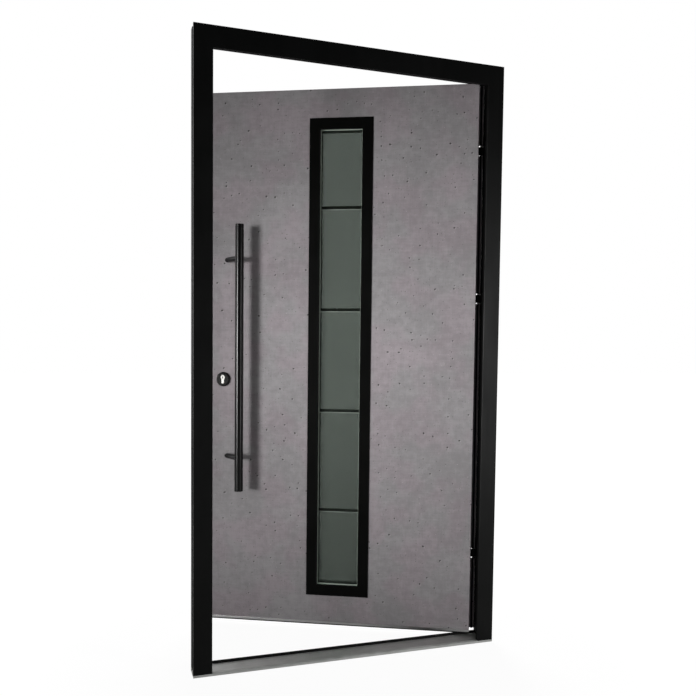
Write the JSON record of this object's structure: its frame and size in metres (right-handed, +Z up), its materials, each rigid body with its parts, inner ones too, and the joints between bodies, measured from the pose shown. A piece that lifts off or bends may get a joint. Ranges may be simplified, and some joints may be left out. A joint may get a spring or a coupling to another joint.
{
  "type": "front door",
  "caption": "Inward-opening front door in a thermally broken aluminium frame: concrete-look insulated leaf with a tall narrow light, long bar handle, barrel hinges and threshold.",
  "frame": {"origin": "middle of the threshold's underside, at mid width and mid depth of the frame", "axes": "+X to the right seen from outside, +Y into the house, +Z up"},
  "size_m": [1.1, 0.5565, 2.1],
  "materials": {
    "black_powder_coat": "satin black powder coat on aluminium",
    "thermal_break": "black glass-filled plastic",
    "bare_aluminium": "satin anodised",
    "black_sill_plastic": "matte black",
    "seal_rubber": "matte",
    "concrete_coat": "matte grey coat that looks like cast concrete",
    "core": "dark insulated core and edge band",
    "black_trim": "satin black",
    "clear_glass": "clear float glass",
    "satin_film": "satin grey-green etched surface",
    "spacer": "dark anodised",
    "lock_steel": "brushed",
    "cylinder_nickel": "satin nickel",
    "handle_black": "satin black with a slight sheen",
    "hinge_black": "satin black",
    "bearing_ring": "pale acetal"
  },
  "bodies": {
    "frame": {"left_jamb_outer": "black_powder_coat", "left_jamb_break": "thermal_break", "left_jamb_inner": "black_powder_coat", "right_jamb_outer": "black_powder_coat", "right_jamb_break": "thermal_break", "right_jamb_inner": "black_powder_coat", "head_outer": "black_powder_coat", "head_break": "thermal_break", "head_inner": "black_powder_coat", "threshold_tread": "bare_aluminium", "threshold_upstand": "black_sill_plastic", "frame_gasket": "seal_rubber", "strike_plates": "lock_steel", "top_hinge_frame_part": "hinge_black", "middle_hinge_frame_part": "hinge_black", "bottom_hinge_frame_part": "hinge_black", "hinge_pins": "lock_steel", "hinge_rings": "bearing_ring"},
    "leaf": {"outer_skin": "concrete_coat", "inner_skin": "concrete_coat", "leaf_core": "core", "bottom_bar": "bare_aluminium", "leaf_seals": "seal_rubber", "outer_trim": "black_trim", "inner_trim": "black_trim", "glazing_rubbers": "seal_rubber", "outer_pane": "clear_glass", "middle_pane": "clear_glass", "inner_pane": "clear_glass", "glass_spacers": "spacer", "satin_panels": "satin_film", "lock_faceplate": "lock_steel", "lock_bolts": "lock_steel", "top_hinge_leaf_part": "hinge_black", "middle_hinge_leaf_part": "hinge_black", "bottom_hinge_leaf_part": "hinge_black", "pull_bar": "handle_black", "upper_post": "handle_black", "lower_post": "handle_black", "outer_escutcheon": "handle_black", "inner_escutcheon": "handle_black", "lock_cylinder": "cylinder_nickel", "lever_rose": "handle_black", "lever": "handle_black"},
    "key_plug": {"key_plug": "cylinder_nickel"}
  },
  "joints": [
    {"name": "leaf_swing", "type": "hinge", "parent": "frame", "child": "leaf", "pos_m": [0.519, 0.0595, 0], "axis": [0, 0, -1], "range_deg": [-26, 64]},
    {"name": "key_plug_turn", "type": "hinge", "parent": "leaf", "child": "key_plug", "pos_m": [-0.37622, 0.42993, 0.971], "axis": [0.4384, 0.8988, 0], "continuous": true}
  ]
}
